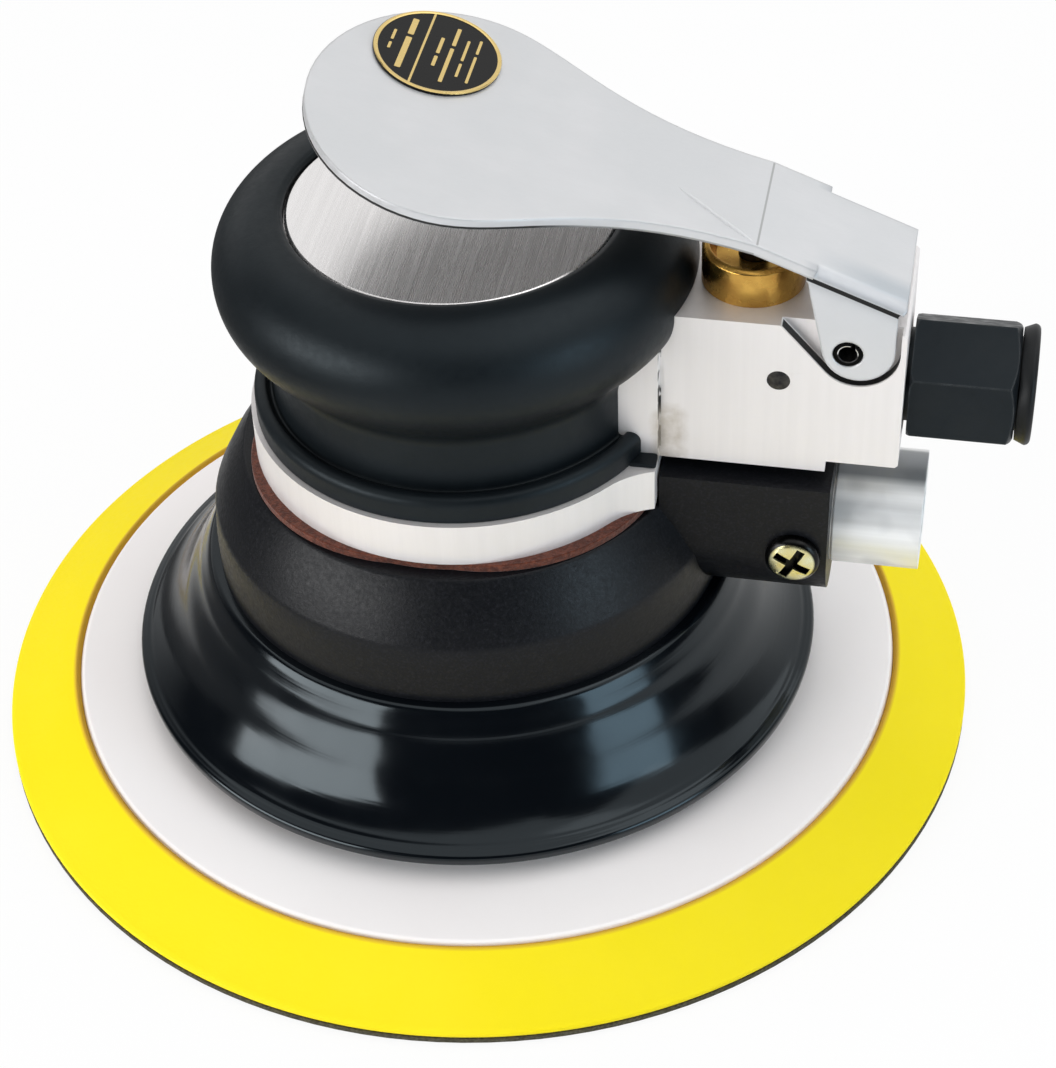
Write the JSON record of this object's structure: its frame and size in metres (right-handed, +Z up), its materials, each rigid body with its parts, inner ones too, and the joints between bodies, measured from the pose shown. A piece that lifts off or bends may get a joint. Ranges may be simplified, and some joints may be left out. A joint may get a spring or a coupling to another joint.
{
  "type": "orbital sander",
  "caption": "Pneumatic random orbital palm sander: rubber-gripped motor housing, throttle lever on a valve block, dust shroud with exhaust duct, and a round foam pad with a hook face.",
  "frame": {"origin": "on the motor's axis, at the face of the pad", "axes": "+Z up along the motor's axis, +X towards the air inlet"},
  "size_m": [0.1547, 0.15, 0.1073],
  "materials": {
    "cast_aluminium": "satin, machined faces",
    "brushed_aluminium": "brushed",
    "lever_metal": "satin, stamped",
    "tube_aluminium": "drawn, bright",
    "grip_rubber": "matte, soft",
    "skirt_rubber": "glossy",
    "shroud_plastic": "fine texture",
    "plug_plastic": "satin",
    "black_oxide": "black oxide, satin",
    "pin_steel": "dark",
    "steel": "ground",
    "bearing_steel": "polished",
    "brass": "turned",
    "yellow_zinc": "yellow zinc plate",
    "felt": "pressed felt",
    "badge_black": "gloss",
    "blade_phenolic": "pressed cloth laminate",
    "o_ring_rubber": "matte",
    "plate_plastic": "satin",
    "foam": "soft foam",
    "hook": "hook face"
  },
  "bodies": {
    "housing": {"motor_housing": "cast_aluminium", "rubber_grip": "grip_rubber", "top_plate": "brushed_aluminium", "felt_gasket": "felt", "shroud": "shroud_plastic", "shroud_screws": "pin_steel", "skirt": "skirt_rubber", "exhaust_tube": "tube_aluminium", "duct_screw": "yellow_zinc", "valve_bushing": "brass", "bushing_pin": "pin_steel", "inlet_bushing": "black_oxide", "inlet_screen": "brass", "lever_pin": "pin_steel", "valve_spring": "steel", "front_end_plate": "cast_aluminium", "motor_cylinder": "steel", "rear_end_plate": "cast_aluminium", "lock_ring": "steel", "cylinder_pin": "steel", "front_outer_race": "bearing_steel", "rear_outer_race": "bearing_steel"},
    "rotor": {"rotor": "steel", "rotor_blades": "blade_phenolic", "rotor_key": "steel", "shaft_balancer": "steel", "tail_snap_ring": "pin_steel", "cup_snap_ring": "pin_steel", "front_balls": "bearing_steel", "front_inner_race": "bearing_steel", "rear_balls": "bearing_steel", "rear_inner_race": "bearing_steel", "spindle_outer_race": "bearing_steel"},
    "pad": {"spindle_balls": "bearing_steel", "spindle_inner_race": "bearing_steel", "spindle": "steel", "spindle_washer": "steel", "spindle_screw": "pin_steel", "pad_stud": "steel", "pad_rivets": "steel", "backing_plate": "plate_plastic", "pad_foam": "foam", "hook_face": "hook"},
    "lever": {"lever": "lever_metal", "badge": "badge_black"},
    "valve": {"valve_stem": "pin_steel", "stem_o_ring": "o_ring_rubber", "valve_o_ring": "o_ring_rubber"},
    "plug": {"inlet_plug": "plug_plastic"}
  },
  "joints": [
    {"name": "rotor_spin", "type": "hinge", "parent": "housing", "child": "rotor", "pos_m": [0, 0, 0.05], "axis": [0, 0, 1], "continuous": true},
    {"name": "pad_spin", "type": "hinge", "parent": "rotor", "child": "pad", "pos_m": [0.00119, 0, 0.02], "axis": [0, 0, 1], "continuous": true},
    {"name": "lever_press", "type": "hinge", "parent": "housing", "child": "lever", "pos_m": [0.0556, 0, 0.07535], "axis": [0, -1, 0], "range_deg": [0, 9], "stiffness_Nm_per_rad": 0.8, "springref_deg": -3.44},
    {"name": "valve_open", "type": "slide", "parent": "housing", "child": "valve", "axis": [0, 0, -1], "range_m": [0, 0.0026], "deforming": ["valve_spring"]},
    {"name": "plug_pull", "type": "slide", "parent": "housing", "child": "plug", "axis": [1, 0, 0], "range_m": [0, 0.04]}
  ],
  "couplings": [
    {"joint": "valve_open", "follows": "lever_press", "m_per_rad": 0.0163}
  ]
}
